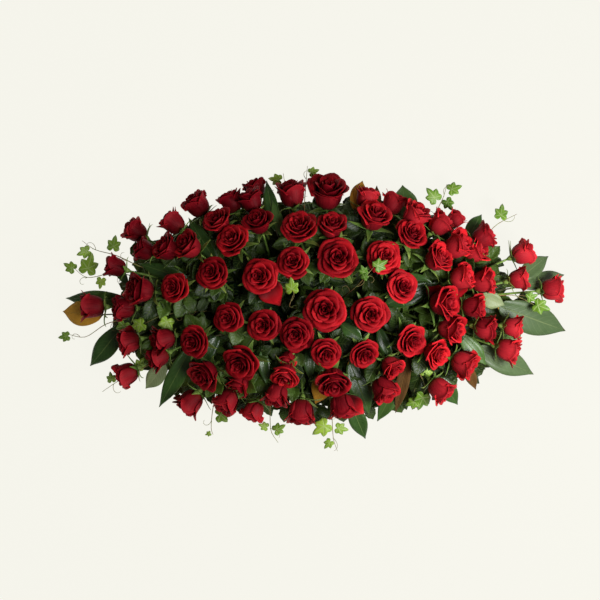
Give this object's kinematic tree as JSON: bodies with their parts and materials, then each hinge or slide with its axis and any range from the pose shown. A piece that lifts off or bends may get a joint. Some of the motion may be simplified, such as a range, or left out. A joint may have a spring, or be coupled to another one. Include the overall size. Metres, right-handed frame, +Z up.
{
  "type": "casket spray",
  "caption": "Low domed spray of red roses with magnolia leaves and ivy, stems set in floral foam in a shallow flat tray that rests on a lid or table.",
  "frame": {"origin": "middle of the tray's flat underside", "axes": "+X along the spray towards its fuller end, +Y across it, +Z up out of the blooms"},
  "size_m": [1.2157, 0.6857, 0.278],
  "materials": {
    "rose": "soft velvety petals, deep red, darker in the folds",
    "stem": "green rose stems, calyxes and sepals, semi-matt",
    "rose_leaf": "dark green serrated rose leaves, semi-matt",
    "magnolia": "leathery dark green leaf, glossy above, bronze brown felt below",
    "magnolia_back": "matt bronze brown felt",
    "ivy": "light green ivy leaf with pale veins, semi-matt",
    "vine": "thin reddish green vine and woody twig",
    "foam": "matt crumbly wet green floral foam",
    "tray": "dark green moulded plastic, satin"
  },
  "bodies": {
    "root": {"roses_crown_middle": "rose", "roses_crown_north": "rose", "roses_crown_west": "rose", "roses_crown_east": "rose", "roses_crown_south": "rose", "roses_crown_south_west": "rose", "roses_west_upper": "rose", "roses_north_middle": "rose", "roses_south_east_middle": "rose", "roses_south_middle": "rose", "roses_north_west_middle": "rose", "roses_north_rim_west": "rose", "roses_north_rim_middle": "rose", "roses_north_east_middle": "rose", "roses_north_east": "rose", "roses_east_upper": "rose", "roses_east_rim_upper": "rose", "roses_east_middle": "rose", "roses_east_tip": "rose", "roses_east_lower": "rose", "roses_east_rim_lower": "rose", "roses_south_east": "rose", "roses_south_east_rim": "rose", "roses_south_rim_middle": "rose", "roses_south_west_middle": "rose", "roses_south_west": "rose", "roses_west_lower": "rose", "roses_west_rim_lower": "rose", "roses_west_tip": "rose", "roses_west_rim_upper": "rose", "roses_north_west": "rose", "roses_north_west_rim": "rose", "magnolia_west": "magnolia", "magnolia_south_west": "magnolia", "magnolia_north_west": "magnolia", "magnolia_north": "magnolia", "magnolia_north_middle": "magnolia", "magnolia_north_east": "magnolia", "magnolia_east": "magnolia", "magnolia_east_lower": "magnolia", "magnolia_south_east": "magnolia", "magnolia_south": "magnolia", "magnolia_inner_west": "magnolia", "magnolia_inner_middle": "magnolia", "magnolia_inner_east": "magnolia", "ivy_west": "ivy", "ivy_west_lower": "ivy", "ivy_north_west": "ivy", "ivy_west_upper": "ivy", "ivy_south_west": "ivy", "ivy_south": "ivy", "ivy_south_middle": "ivy", "ivy_north": "ivy", "ivy_north_middle": "ivy", "ivy_north_east": "ivy", "ivy_east_upper": "ivy", "ivy_crown": "ivy", "foam_brick_west": "foam", "foam_brick_east": "foam", "tray": "tray"}
  },
  "joints": []
}
